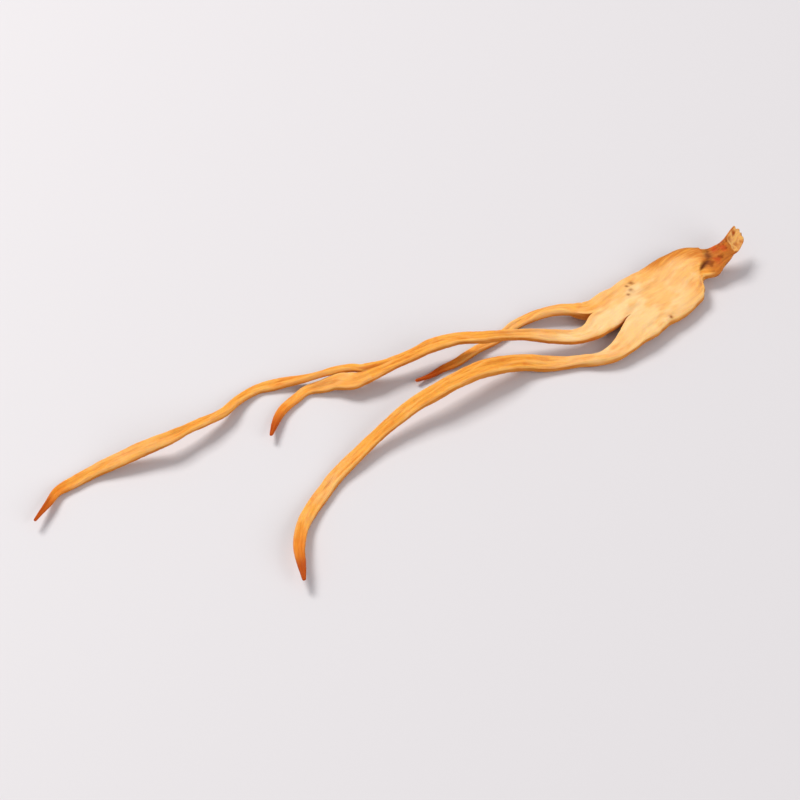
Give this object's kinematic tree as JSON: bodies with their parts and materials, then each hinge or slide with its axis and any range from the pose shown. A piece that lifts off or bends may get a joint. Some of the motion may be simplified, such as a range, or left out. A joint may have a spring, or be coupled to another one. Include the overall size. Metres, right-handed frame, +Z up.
{
  "type": "dried cordyceps",
  "caption": "Dried branching fungus fruit body: a cut brown foot opens into a flat cream-orange blade that forks into furrowed, twisted golden-orange stalks with red-brown tips.",
  "frame": {"origin": "middle of the footprint, on the surface that the fruit body lies on", "axes": "+X from the long tip towards the cut foot, +Y away from the side that the picture is taken from, +Z up"},
  "size_m": [0.0812, 0.0522, 0.0042],
  "materials": {
    "foot_and_blade": "matte wrinkled dried skin",
    "throat": "matte wrinkled dried skin",
    "upper_stalk": "matte wrinkled dried skin",
    "middle_stalk": "matte wrinkled dried skin",
    "lower_stalk": "matte wrinkled dried skin",
    "long_tip": "matte wrinkled dried skin",
    "side_tip": "matte wrinkled dried skin"
  },
  "bodies": {
    "root": {"foot_and_blade": "foot_and_blade", "throat": "throat", "upper_stalk": "upper_stalk", "middle_stalk": "middle_stalk", "lower_stalk": "lower_stalk", "long_tip": "long_tip", "side_tip": "side_tip"}
  },
  "joints": []
}
